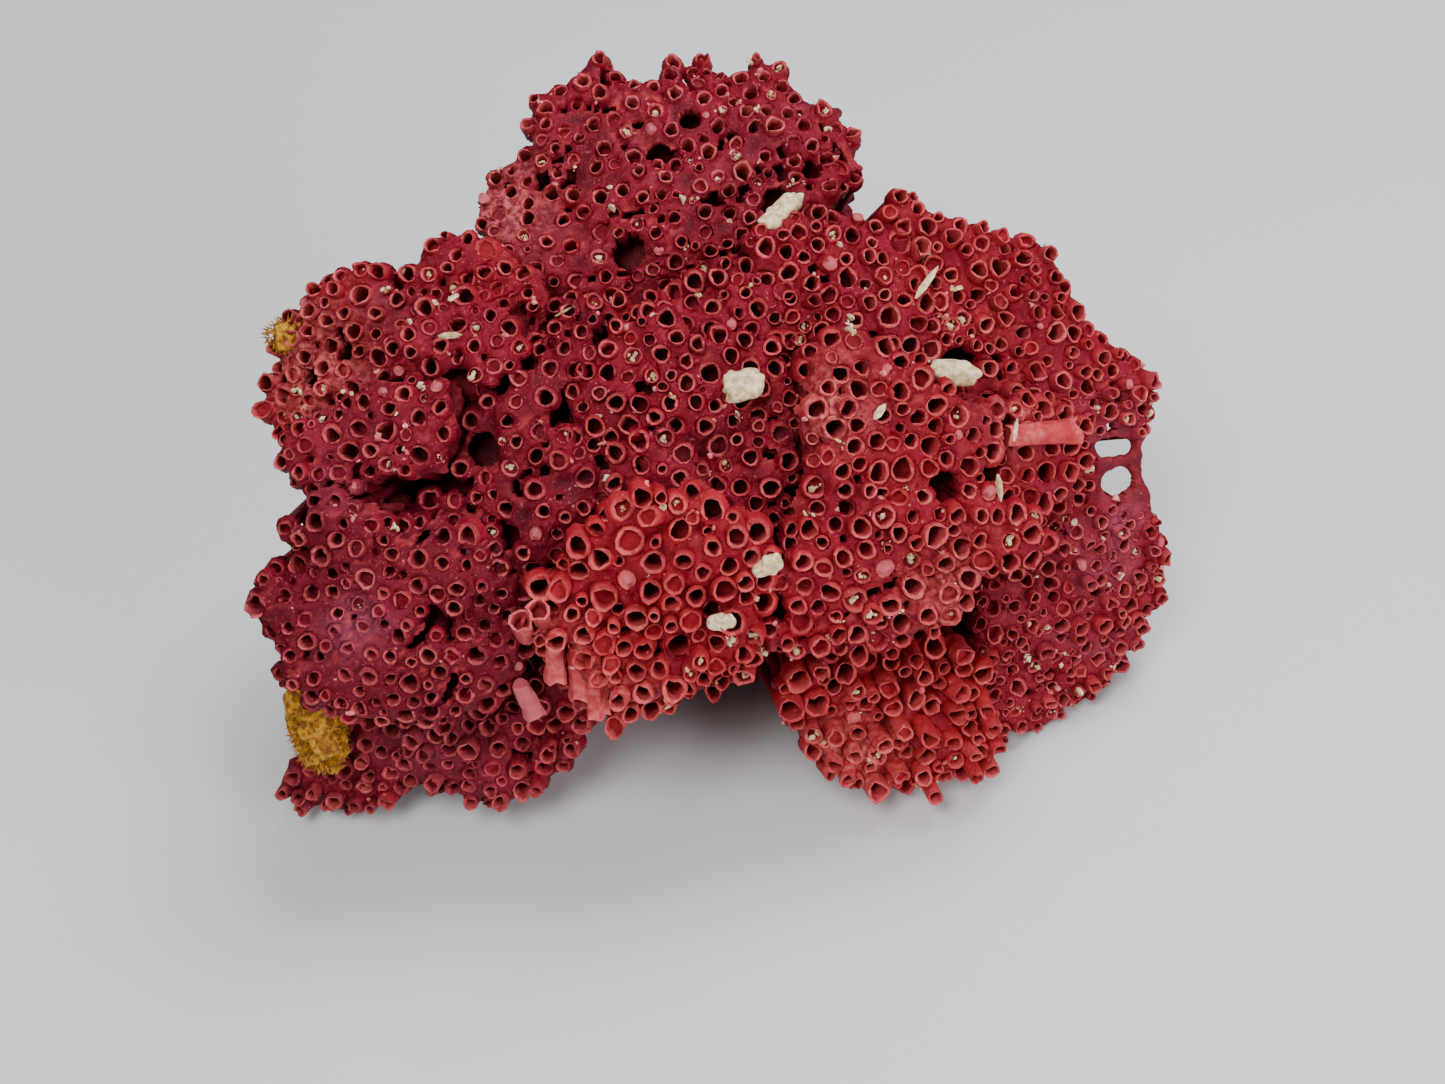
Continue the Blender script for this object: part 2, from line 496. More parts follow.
def chalk_grain():
    """Shader group: soft mottling, fine speckle and a bump height, all from noise on the piece's
    own coordinates. Mottle is 8 mm wide, speckle 0.5 mm, sparkle 0.2 mm, and height 0.8 mm with
    finer grain."""
    group = bpy.data.node_groups.new("chalk_grain", "ShaderNodeTree")
    group.interface.new_socket("Vector", in_out="INPUT", socket_type="NodeSocketVector")
    for socket in ("Mottle", "Speckle", "Sparkle", "Height"):
        group.interface.new_socket(socket, in_out="OUTPUT", socket_type="NodeSocketFloat")
    entry = group.nodes.new("NodeGroupInput")
    leave = group.nodes.new("NodeGroupOutput")
    for socket, scale, detail in (
            ("Mottle", 130, 4), ("Speckle", 1900, 2), ("Sparkle", 5200, 2), ("Height", 1300, 8)):
        noise = group.nodes.new("ShaderNodeTexNoise")
        noise.inputs["Scale"].default_value = scale
        noise.inputs["Detail"].default_value = detail
        group.links.new(entry.outputs["Vector"], noise.inputs["Vector"])
        group.links.new(noise.outputs["Fac"], leave.inputs[socket])
    return group


grain_group = chalk_grain()


def grained_skin(name, bump_strength, bump_mm):
    """A material bumped by the chalk grain on the piece's own coordinates, given back with its
    nodes, its links, its shader and the grain."""
    skin = bpy.data.materials.new(name)
    skin.use_nodes = True
    nodes, links = skin.node_tree.nodes, skin.node_tree.links
    shader = nodes["Principled BSDF"]
    coordinates = nodes.new("ShaderNodeTexCoord")
    grain = nodes.new("ShaderNodeGroup")
    grain.node_tree = grain_group
    links.new(coordinates.outputs["Object"], grain.inputs["Vector"])
    bump = nodes.new("ShaderNodeBump")
    bump.inputs["Strength"].default_value = bump_strength
    bump.inputs["Distance"].default_value = bump_mm * MM
    links.new(grain.outputs["Height"], bump.inputs["Height"])
    links.new(bump.outputs["Normal"], shader.inputs["Normal"])
    return skin, nodes, links, shader, grain


def coral_skin(name, deep, red, light, warm, rim, shade):
    """Coral colour: deep and plain red mixed by mottle, lighter where the mark 'tone' says, orange or
    darker where 'warm' does, flecked with pale grains, lilac where 'haze' meets mottle, rubbed pink
    where 'chalk' does, paler at rims and broken edges, and darkest down the bores."""
    skin, nodes, links, shader, grain = grained_skin(name, 0.8, 0.4)

    def mark(mark_name):
        node = nodes.new("ShaderNodeAttribute")
        node.attribute_name = mark_name
        return node.outputs["Fac"]

    def stretch(value, low, high, bottom, top):
        node = nodes.new("ShaderNodeMapRange")
        node.inputs["From Min"].default_value = low
        node.inputs["From Max"].default_value = high
        node.inputs["To Min"].default_value = bottom
        node.inputs["To Max"].default_value = top
        links.new(value, node.inputs["Value"])
        return node.outputs["Result"]

    def product(one, other):
        node = nodes.new("ShaderNodeMath")
        node.operation = "MULTIPLY"
        links.new(one, node.inputs[0])
        links.new(other, node.inputs[1])
        return node.outputs["Value"]

    def mixed(share, under, over):
        node = nodes.new("ShaderNodeMix")
        node.data_type = "RGBA"
        links.new(share, node.inputs[0])
        for socket, colour in ((node.inputs[6], under), (node.inputs[7], over)):
            if isinstance(colour, tuple):
                socket.default_value = colour
            else:
                links.new(colour, socket)
        return node.outputs[2]

    mottle, speckle = grain.outputs["Mottle"], grain.outputs["Speckle"]
    colour = mixed(stretch(mottle, 0.38, 0.62, 0, 1), linear(*deep), linear(*red))
    colour = mixed(stretch(mark("tone"), 0.3, 1, 0, 0.8), colour, linear(*light))
    colour = mixed(stretch(mark("warm"), 0, -0.5, 0, 1), colour, linear(*deep))
    colour = mixed(stretch(mark("warm"), 0, 1, 0, 0.85), colour, linear(*warm))
    colour = mixed(stretch(speckle, 0.58, 0.76, 0, 0.3), colour, linear(186, 70, 82))
    colour = mixed(stretch(speckle, 0.72, 0.79, 0, 0.6), colour, linear(236, 190, 188))
    colour = mixed(stretch(grain.outputs["Sparkle"], 0.64, 0.78, 0, 0.5), colour, linear(214, 120, 130))
    bloom = product(mark("haze"), stretch(mottle, 0.42, 0.66, 0, 0.75))
    colour = mixed(bloom, colour, linear(148, 78, 102))
    rubbed = product(mark("chalk"), stretch(speckle, 0.42, 0.62, 0.1, 0.8))
    colour = mixed(rubbed, colour, linear(206, 104, 104))
    colour = mixed(product(mark("rim"), stretch(speckle, 0.3, 0.7, 0.35, 1.0)), colour, linear(*rim))
    colour = mixed(stretch(mark("plug"), 0, 1, 0, 0.7), colour, linear(196, 104, 114))
    colour = mixed(stretch(mark("bore"), 0, 1, 0, 0.9), colour, linear(*shade))
    links.new(colour, shader.inputs["Base Color"])
    links.new(stretch(speckle, 0.3, 0.7, 0.4, 0.8), shader.inputs["Roughness"])
    shader.inputs["Specular IOR Level"].default_value = 0.12
    return skin


TUBE_GROUPS = {
    "left_tubes": ["upper_left", "raised_left", "middle_left", "strip", "big_left", "left_foot"],
    "front_tubes": ["front_nose", "nose_skirt", "middle_floor", "middle_step", "middle_back",
                    "back_peaks"],
    "right_tubes": ["right_shelf", "back_right", "right_wing", "right_step", "right_edge",
                    "right_nose", "right_foot"],
}
tube_skin = coral_skin("coral_tubes", deep=(88, 6, 25), red=(120, 9, 31), light=(140, 14, 37),
                       warm=(172, 34, 42), rim=(226, 104, 106), shade=(122, 12, 34))
for seed, (group_name, names) in enumerate(TUBE_GROUPS.items(), 51):
    piece = coral_piece(group_name, *tube_shells(joined(names), seed), 50)
    piece.data.materials.append(tube_skin)

# The platforms
# Thin chalky floors grow across between the tubes, at right angles to them. Their broken edges
# bulge round each outer tube, they are gnawed through in places, and they swell where a tube
# leaves them, so neighbouring tubes are webbed together.
PLATFORM_THICK = 1.1
TOP_GRID = 0.28
LOWER_GRID = 0.6
WEB_REACH = 0.38  # the swelling round a tube falls to about a third over this distance


def sheet_shell(layers, keep, marks):
    """A closed slab from grids of places in layers: squares whose corners are all kept make the top
    and, turned over, the bottom, and walls join the layers along each loose edge."""
    rows, columns = keep.shape
    index = np.arange(rows * columns).reshape(rows, columns)
    squares = np.stack([index[:-1, :-1], index[:-1, 1:], index[1:, 1:], index[1:, :-1]], -1)
    squares = squares[keep[:-1, :-1] & keep[:-1, 1:] & keep[1:, 1:] & keep[1:, :-1]]
    edges = np.stack([squares, np.roll(squares, -1, 1)], -1).reshape(-1, 2)
    key = edges.min(1) * rows * columns + edges.max(1)
    _, first, times = np.unique(key, return_index=True, return_counts=True)
    loose = edges[first[times == 1]]
    used, packed = np.unique(squares, return_inverse=True)
    squares = packed.reshape(-1, 4)
    place_of = np.zeros(rows * columns, int)
    place_of[used] = np.arange(len(used))
    rim_used, rim_packed = np.unique(loose, return_inverse=True)
    rim = rim_packed.reshape(-1, 2)
    between = [layer.reshape(-1, 3)[rim_used] for layer in layers[1:-1]]
    points = np.concatenate(
        [layers[0].reshape(-1, 3)[used], layers[-1].reshape(-1, 3)[used], *between])
    stack = [place_of[rim_used]]
    for k in range(len(between)):
        stack.append(2 * len(used) + k * len(rim_used) + np.arange(len(rim_used)))
    stack.append(len(used) + place_of[rim_used])
    walls = [np.stack([upper[rim[:, 1]], upper[rim[:, 0]], lower[rim[:, 0]], lower[rim[:, 1]]], 1)
             for upper, lower in zip(stack[:-1], stack[1:])]
    quads = np.concatenate([squares, squares[:, ::-1] + len(used), *walls])
    kept_marks = {}
    for mark, values in marks.items():
        flat = values.reshape(-1)
        kept_marks[mark] = np.concatenate(
            [flat[used], flat[used], *[flat[rim_used]] * len(between)])
    return points, quads, None, kept_marks


def platform(kind, tubes, drop, grid, seed, rim_width):
    """One platform: the ledge's outline gnawed by noise and bulged round each tube, less gaps where a
    noise is high and, in the top one, the ledge's holes, the tubes' bores and winding splits along
    the zeros of a noise. A lower one is a rim of the given width. Corners just outside that edge are
    drawn onto it, down the slope of the distance to it. The slab is thin at its edge and thickens
    inwards as a quarter circle."""
    corners = kind["outline"]
    flat = np.radians(1) * (kind["level"] - drop) * np.array(
        [SIDE_STRETCH * np.cos(np.radians(corners[:, 1].mean())), 1.0])
    low, high = corners.min(0) - 2.0 / flat, corners.max(0) + 2.0 / flat
    side, climb = np.meshgrid(np.arange(low[0], high[0], grid / flat[0]),
                              np.arange(low[1], high[1], grid / flat[1]))
    top_level, edge = ledge_surface(kind, side, climb)
    top_level = top_level - drop
    place = on_level(side, climb, top_level)
    tube_foot = tubes["place"] - drop * growth_direction(tubes["place"])
    from_tube = np.full(side.shape, 9.0)
    web = np.zeros(side.shape)
    for spot, radius in zip(tube_foot, tubes["radius"]):
        away = np.linalg.norm(place - spot, axis=-1) - radius
        from_tube = np.minimum(from_tube, away)
        web += np.exp(-np.clip(away, 0, 9) / WEB_REACH)
    from_bore = from_tube + 0.07
    gnawed = edge - 0.3 + 0.7 * rough(place, 4.2, seed) + 0.65 * rough(place, 1.5, seed + 1)
    gnawed = gnawed + 0.28 * rough(place, 0.7, seed + 6)
    gap = (kind["gaps"] - rough(place, 2.3, seed + 5)) * 1.4
    split = 2.4 * np.abs(rough(place, 4.6, seed + 8)) - 0.2
    split = split + 2 * np.clip(rough(place, 8, seed + 9) + kind["gaps"] - 0.4, 0, 1)
    room = np.minimum(gnawed, gap) if rim_width else np.minimum(np.minimum(gnawed, gap), split)
    room = np.maximum(room, 0.30 - from_tube)
    for hole_side, hole_climb, hole_radius in () if drop else kind["holes"]:
        away = np.linalg.norm(place - on_level(hole_side, hole_climb, top_level), axis=-1)
        room = np.minimum(room, away + 0.35 * rough(place, 1.4, seed + 2) - hole_radius)
    if rim_width:
        room = np.minimum(room, rim_width - edge)
    else:
        room = np.minimum(room, from_bore)
    room = np.minimum(room, (top_level - 1.5 - deepest_level(side, climb)) * 0.7)
    room = np.minimum(room, from_windows(place) - (0.6 if rim_width else 0))
    keep = room > -0.5 * grid
    slope_climb, slope_side = np.gradient(room, grid)
    steep = np.maximum(slope_climb**2 + slope_side**2, 0.3)
    near = keep & (room < 0.35 * grid)
    shift = np.clip(np.where(near, -room / steep, 0), -0.6 * grid, 0.6 * grid)
    side = side + shift * slope_side / flat[0]
    climb = climb + shift * slope_climb / flat[1]
    inward = np.clip(np.where(near, 0, room) / (0.5 * PLATFORM_THICK), 0, 1)
    half = PLATFORM_THICK * (0.12 + 0.38 * np.sqrt(1 - (1 - inward) ** 2))
    swell = (0.0 if rim_width else 0.95 - 0.16 * kind["height"][1]) * (1 - np.exp(-1.3 * web))
    grain = 0.14 * rough(place, 0.9, seed + 4) + 0.07 * rough(place, 0.4, seed + 7)
    middle = top_level - PLATFORM_THICK / 2
    top = on_level(side, climb, middle + half + swell + grain)
    bottom = on_level(side, climb, middle - half)
    top[..., 2] = np.maximum(top[..., 2], 0.05)
    bottom[..., 2] = np.maximum(bottom[..., 2], 0.03)
    edge_light = np.clip(1 - room / 0.5, 0, 1) * np.where(from_bore < 0.5, 0.0, 1.0)
    valley = np.clip(1 - web * 1.6, 0, 1)
    marks = dict(rim=0.6 * edge_light, bore=0.2 * valley + (0.3 if rim_width else 0.0),
                 plug=np.zeros(room.shape), tone=np.clip(web * 1.2, 0, 1),
                 warm=np.full(room.shape, kind["warm"] * 0.7))
    return sheet_shell([top, bottom], keep, marks)


def merged(parts):
    """Several shells as one: each one's corners are numbered on from those before it."""
    points, quads, marks, before = [], [], {}, 0
    for part_points, part_quads, _, part_marks in parts:
        points.append(part_points)
        quads.append(part_quads + before)
        before += len(part_points)
        for mark, values in part_marks.items():
            marks.setdefault(mark, []).append(values)
    return (np.concatenate(points), np.concatenate(quads), None,
            {mark: np.concatenate(values) for mark, values in marks.items()})


PLATFORM_GROUPS = {
    "left_platforms": TUBE_GROUPS["left_tubes"],
    "middle_platforms": TUBE_GROUPS["front_tubes"],
    "right_platforms": TUBE_GROUPS["right_tubes"],
}
LOWER_DROPS = {"big_left": (3.8, 7, 14), "upper_left": (3.4, 7, 13), "raised_left": (3.4,),
               "middle_left": (3.4, 7), "back_peaks": (3.4, 7), "front_nose": (7, 14),
               "right_shelf": (3.8, 7), "right_wing": (7,), "right_edge": (7,), "right_nose": (7,),
               "left_foot": (7,), "middle_back": (3.2,), "middle_step": (3.2,), "middle_floor": (3.2,),
               "strip": (3.6,), "back_right": (3.2,)}
CLOSE_BELOW = 4  # platforms less than this far below the top one are seen through its gaps
LOWER_WIDTH, CLOSE_WIDTH = 5.0, 12  # how wide a rim of a lower platform is made, and of a close one
ledge_skin = coral_skin("coral_ledges", deep=(66, 4, 21), red=(94, 6, 27), light=(118, 10, 32),
                        warm=(140, 18, 32), rim=(196, 66, 72), shade=(58, 4, 14))
for seed, (group_name, names) in enumerate(PLATFORM_GROUPS.items(), 71):
    parts = [platform(LEDGES[name], planted[name], 0, TOP_GRID, seed * 10 + k, None)
             for k, name in enumerate(names)]
    coral_piece(group_name, *merged(parts), 60).data.materials.append(ledge_skin)
lower_parts = [platform(LEDGES[name], planted[name], drop, LOWER_GRID, 900 + round(drop) + 20 * k,
                        LOWER_WIDTH if drop > CLOSE_BELOW else CLOSE_WIDTH)
               for k, (name, drops) in enumerate(LOWER_DROPS.items()) for drop in drops]
coral_piece("lower_platforms", *merged(lower_parts), 60).data.materials.append(ledge_skin)

# The heart of the clump
# Deeper in, tubes and platforms are packed too closely to tell apart and lie in shadow. One rough
# body stands for them, from 5.5 mm below each ledge down to the flat cut. Where the clump broke, at
# its sides and back, single tubes and the rims of platforms show.
HEART_OUTLINE = [(-27, 8), (-26, 30), (-29, 45), (-20, 62), (-8, 70), (14, 70), (25, 58), (30, 45),
                 (27.5, 33), (26, 28), (26, 8), (13, 5), (5, 15), (-7, 15), (-12, 5)]
HEART_GRID = 0.9
HEART_DEPTH = 5.5
HEART_NOTCH, NOTCH_SIZE = (30, 29.5), 2.6  # degrees, behind the gaps in the right rim


def heart():
    """The outside lies on level 55 and rises to 5.5 below a ledge from 1.8 to 2.8 mm inside the
    ledge's outline. The inside is the flat cut or the broken back. The six layers from one to the
    other are ribbed by noise that follows the tubes."""
    side, climb = np.meshgrid(np.arange(-34, 38, 0.7), np.arange(6, 74, 0.8))
    room = room_inside(side, climb, HEART_OUTLINE, 62)
    base_level = HEART_LEVEL - 1.0
    outside = np.full(side.shape, base_level)
    for kind in LEDGES.values():
        level, inner = ledge_surface(kind, side, climb)
        inner = inner - 1.8
        room = np.maximum(room, inner)
        lift = np.clip(inner, 0, 1) * (level - HEART_DEPTH - base_level)
        outside = np.maximum(outside, base_level + lift)
    inside = deepest_level(side, climb)
    bed = on_level(side, climb, 60)
    outside = outside + 0.8 * rough(bed, 2.2, 301)
    on_back = inside > -FOCUS[2] / np.sin(np.radians(climb)) + 0.5
    broken = 1.4 + 1.2 * rough(bed, 3.0, 302) + 0.6 * rough(bed, 1.3, 303)
    inside = inside + np.where(on_back, broken, 0.02)
    room = np.minimum(room, (outside - inside) * 0.6)
    notch = np.hypot((side - HEART_NOTCH[0]) * 1.1, climb - HEART_NOTCH[1])
    room = np.minimum(room, notch - NOTCH_SIZE)
    keep = room > -0.5 * HEART_GRID
    outside = np.maximum(outside, inside + 0.4)
    layers = []
    for share in np.linspace(0, 1, 6):
        ribs = 0.5 * rough(np.stack([side, climb, side * 0], -1), 1.4, 304)
        ribs = ribs * math.sin(math.pi * share)
        layers.append(on_level(side + ribs, climb + ribs, outside + (inside - outside) * share))
    for layer in layers:
        layer[..., 2] = np.maximum(layer[..., 2], 0.02)
    marks = dict(rim=np.zeros(room.shape), bore=np.full(room.shape, 0.62),
                 plug=np.zeros(room.shape), tone=np.zeros(room.shape), warm=np.zeros(room.shape))
    return sheet_shell(layers, keep, marks)


heart_piece = coral_piece("packed_heart", *heart(), 60)
heart_piece.data.materials.append(ledge_skin)
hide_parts("coral")


def heart_tubes():
    """Tubes laid bare where the clump broke, in five rings: the buried end, the wall, the broken
    rim outside and inside, and the floor of the bore, which opens towards the focus. Those along
    the heart's outline run the whole way out, and those in the broken back only 8 mm."""
    dice = np.random.default_rng(404)
    tries = 9000
    spots = np.stack([dice.uniform(-30, 33, tries), dice.uniform(8, 73, tries)], 1)
    room = room_inside(spots[:, 0], spots[:, 1], HEART_OUTLINE, 50)
    inner = deepest_level(*spots.T)
    at_cut = -FOCUS[2] / np.sin(np.radians(spots[:, 1]))
    radii = 0.74 * np.clip(dice.normal(1, 0.12, tries), 0.75, 1.25)
    middles = on_level(spots[:, 0], spots[:, 1], np.maximum(inner + 3, 46))
    fits = (room > -0.4) & (inner < 53) & ((inner > at_cut + 0.5) | (room < 1.4))
    kept = spaced_out(middles, radii, fits, 1.12)
    side, climb = spots[kept].T
    count, corner_count = len(kept), 9
    shape = (count, corner_count)  # of one ring of every tube
    radius = radii[kept][:, None]
    mouth = inner[kept] + dice.uniform(-0.4, 2.2, count)
    outer = np.where(room[kept] < 1.6, HEART_LEVEL + 1, mouth + 8)
    reach = on_level(side, climb, mouth) - on_level(side, climb, outer)
    length = np.linalg.norm(reach, axis=1)[:, None]
    chips = dice.uniform(-0.8, 0.2, shape) * radius
    whole = np.ones(shape)
    around = np.stack([radius * 0.9 * whole, radius * dice.uniform(0.92, 1.04, shape),
                       radius * dice.uniform(0.94, 1.04, shape),
                       radius * dice.uniform(0.68, 0.78, shape), radius * 0.6 * whole], 1)
    along = np.stack([0 * whole, length * 0.5 * whole, length + chips, length + chips - 0.04,
                      length - 2.4 * radius * whole], 1)
    points, quads, caps = pipe_skins(
        on_level(side, climb, outer), reach / length, around, along, dice.random((count, 1)))
    points[..., 2] = np.maximum(points[..., 2], 0.03)
    shape = around.shape
    marks = dict(rim=spread(shape, [0, 0, 0.4, 0.6, 0]), bore=spread(shape, [0.3, 0.2, 0, 0.1, 0.9]),
                 plug=spread(shape, [0] * 5), tone=spread(shape, [1] * 5, dice.random(count)),
                 warm=spread(shape, [1] * 5, dice.uniform(-0.5, 0.1, count)))
    return points.reshape(-1, 3), quads, caps, marks


coral_piece("heart_tubes", *heart_tubes(), 50).data.materials.append(tube_skin)

HEART_RIMS = (6, 12, 18)  # how far the platforms seen at the heart's sides lie inside its outside
rim_outline = np.array(HEART_OUTLINE, float)
rim_outline = rim_outline.mean(0) + (rim_outline - rim_outline.mean(0)) * 1.06
rim_kind = ledge(HEART_LEVEL, 0.7, 1.0, (0.3, 1.0), -0.2, rim_outline)
no_tubes = dict(place=np.zeros((0, 3)), radius=np.zeros(0))
rim_parts = [platform(rim_kind, no_tubes, drop, LOWER_GRID, 700 + drop, 6.0) for drop in HEART_RIMS]
coral_piece("heart_platforms", *merged(rim_parts), 60).data.materials.append(ledge_skin)

# Fallen and broken tubes
# Two lengths of tube have snapped off and are stuck across the ledges, a thick one on the right step
# and a short pale one at the left of the front nose. Beside it five tall tubes were left bare and
# pale when the ledge round them broke away.
FALLEN = [  # start, end, radius, how orange, how pale
    ((26.8, -15.2, 31.8), (33.0, -14.2, 30.3), 1.15, 0.9, 0.05),
    ((-16.4, -25.8, 21.2), (-15.6, -26.6, 17.6), 0.82, 0.6, 0.9),
    ((-15.0, -25.6, 26.6), (-14.9, -27.2, 30.6), 0.95, 1.0, 0.3),
    ((-13.4, -25.6, 28.2), (-13.2, -27.4, 31.8), 0.9, 1.0, 0.2),
    ((-12.4, -25.6, 27.2), (-13.2, -27.9, 23.4), 0.95, 1.0, 0.25),
    ((-11.0, -26.5, 25.6), (-11.3, -28.6, 21.4), 0.95, 1.0, 0.2),
    ((-9.7, -27.4, 24.0), (-10.1, -29.5, 20.2), 0.95, 1.0, 0.15),
]


def fallen_tubes():
    """Lengths of tube in nine rings: the far end, five along the wall, the broken rim outside and
    inside, and the floor of the bore. Walls are dented and both ends chipped at random."""
    dice = np.random.default_rng(77)
    start = np.array([one[0] for one in FALLEN], float)
    reach = np.array([one[1] for one in FALLEN], float) - start
    length = np.linalg.norm(reach, axis=1)[:, None]
    radius = np.array([one[2] for one in FALLEN])[:, None]
    shape = (len(FALLEN), TUBE_CORNERS)
    chips = dice.uniform(-0.5, 0.3, shape) * radius
    dents = 1 + 0.12 * dice.uniform(-1, 1, shape)
    around = np.stack([radius * dents * dice.uniform(share - 0.07, share + 0.07, shape)
                       for share in (0.8, 0.9, 0.86, 0.95, 0.9, 1.02, 1.08, 0.84, 0.6)], 1)
    along = np.stack([share * length + reached * chips for share, reached in (
        (0, -0.6), (0.16, 0.2), (0.34, 0.2), (0.52, 0.2), (0.7, 0.2), (0.86, 0.4), (1, 1),
        (0.99, 1), (0.6, 0))], 1)
    points, quads, caps = pipe_skins(
        start, reach / length, around, along, dice.random((len(start), 1)))
    shape = around.shape
    marks = dict(rim=spread(shape, [0.5, 0, 0.3, 0, 0.2, 0, 0.8, 1, 0]),
                 bore=spread(shape, [0.1, 0, 0, 0, 0, 0, 0, 0.1, 0.9]), tone=spread(shape, [1] * 9),
                 plug=spread(shape, [1] * 9, [one[4] for one in FALLEN]),
                 warm=spread(shape, [1] * 9, [one[3] for one in FALLEN]))
    return points.reshape(-1, 3), quads, caps, marks


coral_piece("fallen_tubes", *fallen_tubes(), 50).data.materials.append(tube_skin)

# Sponge
# Dried yellow sponge, a mat of fine fibres, has crept over the left foot and over a corner of the
# upper left ledge.
SPONGES = {  # middle, half sizes, seed
    "sponge_left_foot": ((-35.6, -20.6, 12.4), (2.3, 3.0, 4.3), 5),
    "sponge_upper_left": ((-32.2, -0.8, 41.2), (2.0, 1.6, 1.3), 9),
}


def plain_piece(name, points, faces, skin, slot):
    """A piece from places in mm, faces, a material and its slot, fixed to the clump."""
    mesh = bpy.data.meshes.new(name)
    mesh.from_pydata((points * MM).tolist(), [], faces)
    mesh.materials.append(skin)
    piece = bpy.data.objects.new(name, mesh)
    bpy.context.scene.collection.objects.link(piece)
    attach(piece, "root")
    return piece


def lump(name, place, half, turn, seed, coarse, fine, boxy, rows, skin, slot):
    """A closed egg of the given half sizes, made boxier by a power below 1, turned about the upright
    through some degrees, its radius changed by coarse and fine noise. Rows run from pole to pole,
    and there are twice as many columns round."""
    up, around = np.meshgrid(np.linspace(0, np.pi, rows),
                             np.linspace(0, 2 * np.pi, 2 * rows, endpoint=False), indexing="ij")
    ball = np.stack([np.sin(up) * np.cos(around), np.sin(up) * np.sin(around), np.cos(up)], -1)
    ball = np.sign(ball) * np.abs(ball) ** boxy * np.array(half)
    quarter = math.radians(turn)
    ball = ball @ np.array([[math.cos(quarter), math.sin(quarter), 0],
                            [-math.sin(quarter), math.cos(quarter), 0], [0, 0, 1]])
    swell = 1 + coarse * rough(ball + seed * 7.3, 2.2, seed) + fine * rough(ball, 0.55, seed + 1)
    points = (ball * swell[..., None] + np.array(place)).reshape(-1, 3)
    index = np.arange(rows * 2 * rows).reshape(rows, 2 * rows)
    points[index[0]] = points[index[0]].mean(0)
    points[index[-1]] = points[index[-1]].mean(0)
    turned = np.roll(index, -1, 1)
    quads = np.stack([index[:-1], index[1:], turned[1:], turned[:-1]], -1).reshape(-1, 4)
    piece = plain_piece(name, points, quads.tolist(), skin, slot)
    welded = bmesh.new()
    welded.from_mesh(piece.data)
    bmesh.ops.remove_doubles(welded, verts=welded.verts, dist=1e-7)
    welded.to_mesh(piece.data)
    welded.free()
    piece.data.polygons.foreach_set("use_smooth", np.ones(len(piece.data.polygons), bool))
    return piece


def chalky_skin(name, dark, light, roughness, bump_mm):
    """Two tones of one colour mixed by the chalk grain's speckle, with a bump."""
    skin, nodes, links, shader, grain = grained_skin(name, 0.9, bump_mm)
    ramp = nodes.new("ShaderNodeValToRGB")
    ramp.color_ramp.elements[0].color = linear(*dark)
    ramp.color_ramp.elements[0].position = 0.38
    ramp.color_ramp.elements[1].color = linear(*light)
    ramp.color_ramp.elements[1].position = 0.62
    links.new(grain.outputs["Speckle"], ramp.inputs["Fac"])
    links.new(ramp.outputs["Color"], shader.inputs["Base Color"])
    shader.inputs["Roughness"].default_value = roughness
    return skin


def fibre_cones(place, half, seed, count):
    """Fibres of the sponge: three-sided cones, 0.4 to 1 mm long, that stand off an egg of the
    sponge's size in directions near its own outward one, combed downwards."""
    dice = np.random.default_rng(seed)
    out = unit(dice.normal(0, 1, (count, 3)))
    root = out * np.array(half) * 0.93
    way = unit(out + dice.normal(0, 0.5, (count, 3)) + np.array([0, 0, -0.35]))
    first = unit(np.cross(way, [0.3, 0.5, 0.8]))
    second = np.cross(way, first)
    thick, length = 0.08, dice.uniform(0.4, 1.05, (count, 1))
    corners = [root + thick * (math.cos(a) * first + math.sin(a) * second)
               for a in (0, 2.09, 4.19)]
    points = np.stack([*corners, root + way * length], 1).reshape(-1, 3) + np.array(place)
    start = 4 * np.arange(count)[:, None]
    sides = [(0, 1, 3), (1, 2, 3), (2, 0, 3), (2, 1, 0)]
    return points, np.concatenate([start + np.array(one) for one in sides]).tolist()


sponge_skin = chalky_skin("sponge_fibre", (112, 68, 10), (198, 140, 26), 0.95, 0.4)
for node, (place, half, seed) in SPONGES.items():
    mat = lump(node + "_mat", place, half, 0, seed, 0.4, 0.2, 1.0, 72, sponge_skin, "sponge_yellow")
    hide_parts(node)
    fibres = fibre_cones(place, half, seed, round(110 * half[1] * half[2]))
    plain_piece(node + "_fibres", *fibres, sponge_skin, "sponge_yellow")

# Shell bits and grit
# Cream bits of broken shell and lime lie wedged between the tubes, and smaller crumbs of the same
# and of pale coral lie on the ledges and in the mouths of some tubes.
SHELL_BITS = {  # middle, half sizes, turn about the upright, seed
    "shell_bit_back": ((11.0, 2.8, 44.3), (2.3, 0.95, 0.9), 50, 21),
    "shell_bit_middle": ((5.2, -13.8, 40.4), (1.7, 1.2, 1.0), 10, 22),
    "shell_bit_right": ((22.9, -12.7, 37.6), (1.8, 0.9, 0.9), -8, 23),
    "shell_flake_front": ((5.3, -26.2, 31.9), (1.4, 0.4, 1.1), 20, 24),
    "shell_bit_front": ((1.2, -28.8, 28.8), (1.2, 0.6, 0.9), 0, 25),
}
shell_skin = chalky_skin("shell_lime", (186, 156, 112), (232, 214, 176), 0.8, 0.15)
for node, (place, half, turn, seed) in SHELL_BITS.items():
    bit = lump(node + "_lime", place, half, turn, seed, 0.4, 0.2, 0.72, 32, shell_skin, "shell_cream")
    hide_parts(node)


